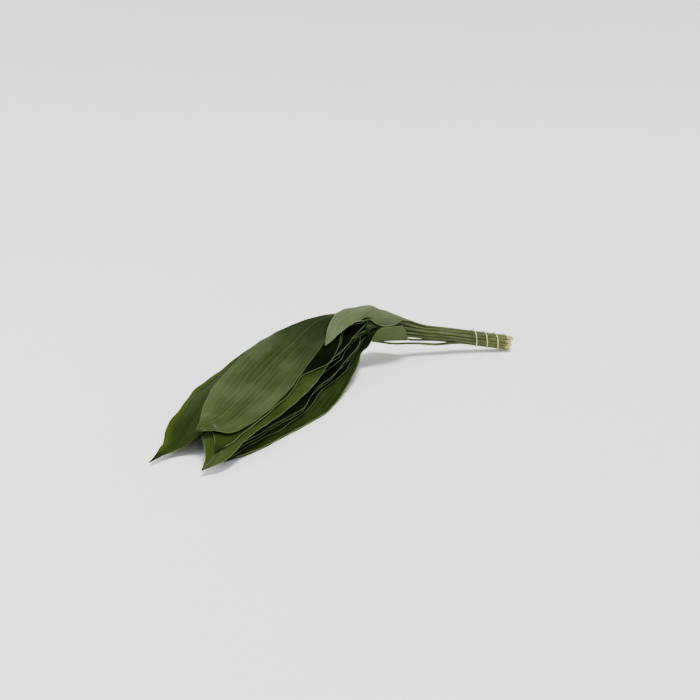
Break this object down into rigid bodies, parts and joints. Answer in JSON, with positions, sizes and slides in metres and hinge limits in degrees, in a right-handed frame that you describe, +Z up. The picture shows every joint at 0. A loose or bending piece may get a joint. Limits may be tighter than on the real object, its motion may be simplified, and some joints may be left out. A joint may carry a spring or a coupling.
{
  "type": "tied bunch of cut aspidistra leaves",
  "caption": "Bunch of long dark green leaves on slim stems, tied near the cut ends and lying on its side, the blades stacked and draping down from a low arch to their tips.",
  "frame": {"origin": "centre of the bounding box's footprint, on the resting surface", "axes": "+X along the bunch from the blade tips towards the cut stem ends, +Z up"},
  "size_m": [0.7946, 0.2412, 0.0901],
  "materials": {
    "leaf": "dark green leathery leaf with a soft waxy sheen and fine parallel veins",
    "pale_leaf": "paler matte underside of the same leaf",
    "tie": "thin cream twine, matte"
  },
  "bodies": {
    "root": {"leaf_01": "leaf", "leaf_02": "pale_leaf", "leaf_03": "leaf", "leaf_04": "leaf", "leaf_05": "leaf", "leaf_06": "leaf", "leaf_07": "leaf", "leaf_08": "leaf", "leaf_09": "leaf", "leaf_10": "leaf", "leaf_11": "leaf", "leaf_12": "leaf", "leaf_13": "leaf", "leaf_14": "leaf", "leaf_15": "leaf", "leaf_16": "leaf", "leaf_17": "leaf", "leaf_18": "leaf", "leaf_19": "leaf", "leaf_20": "pale_leaf", "stem_tie": "tie"}
  },
  "joints": []
}
